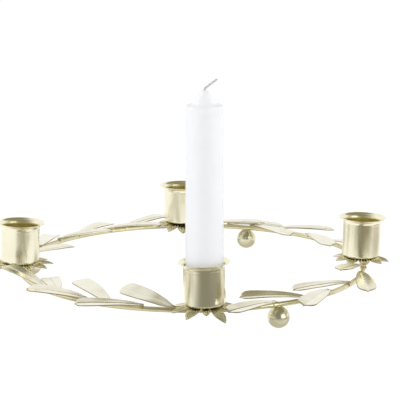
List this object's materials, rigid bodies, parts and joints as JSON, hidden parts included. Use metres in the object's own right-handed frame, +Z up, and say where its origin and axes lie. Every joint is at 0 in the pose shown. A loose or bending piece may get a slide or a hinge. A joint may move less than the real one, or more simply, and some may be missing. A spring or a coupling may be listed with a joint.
{
  "type": "candle ring",
  "caption": "Wreath-like candle ring: a wire hoop with stamped leaves, flared candle cups on flower collars, ball feet and a taper candle standing in the front cup.",
  "frame": {"origin": "centre of the hoop, on the table plane that the ball feet stand on", "axes": "+Z up, -Y towards the cup that holds the candle, +X towards the cup on the viewer's right"},
  "size_m": [0.2506, 0.2534, 0.1471],
  "materials": {
    "wire_brass": "satin",
    "foot_brass": "polished",
    "cup_brass": "satin, spun",
    "leaf_brass": "matte, pressed grain",
    "wax": "smooth wax",
    "wick": "waxed cotton"
  },
  "bodies": {
    "ring": {"ring_hoop": "wire_brass", "ball_foot_front": "foot_brass", "ball_foot_back": "foot_brass", "ball_foot_left": "foot_brass", "cup_stud_right": "wire_brass", "cup_stud_back": "wire_brass", "cup_stud_left": "wire_brass", "cup_stud_front": "wire_brass", "petal_collar_right": "leaf_brass", "petal_collar_back": "leaf_brass", "petal_collar_left": "leaf_brass", "petal_collar_front": "leaf_brass", "candle_cup_right": "cup_brass", "candle_cup_back": "cup_brass", "candle_cup_left": "cup_brass", "candle_cup_front": "cup_brass", "leaf_front_right_inner_1": "leaf_brass", "leaf_front_right_inner_2": "leaf_brass", "leaf_front_right_inner_3": "leaf_brass", "leaf_front_right_outer_1": "leaf_brass", "leaf_front_right_outer_2": "leaf_brass", "leaf_front_right_outer_3": "leaf_brass", "leaf_front_left_inner_1": "leaf_brass", "leaf_front_left_inner_2": "leaf_brass", "leaf_front_left_inner_3": "leaf_brass", "leaf_front_left_outer_1": "leaf_brass", "leaf_front_left_outer_2": "leaf_brass", "leaf_front_left_outer_3": "leaf_brass", "leaf_back_left_inner_1": "leaf_brass", "leaf_back_left_inner_2": "leaf_brass", "leaf_back_left_inner_3": "leaf_brass", "leaf_back_left_outer_1": "leaf_brass", "leaf_back_left_outer_2": "leaf_brass", "leaf_back_left_outer_3": "leaf_brass", "leaf_back_right_inner_1": "leaf_brass", "leaf_back_right_inner_2": "leaf_brass", "leaf_back_right_inner_3": "leaf_brass", "leaf_back_right_outer_1": "leaf_brass", "leaf_back_right_outer_2": "leaf_brass", "leaf_back_right_outer_3": "leaf_brass"},
    "candle": {"candle_wax": "wax", "candle_wick": "wick"}
  },
  "joints": [
    {"name": "candle_lift", "type": "slide", "parent": "ring", "child": "candle", "axis": [0, 0, 1], "range_m": [0, 0.04]}
  ]
}
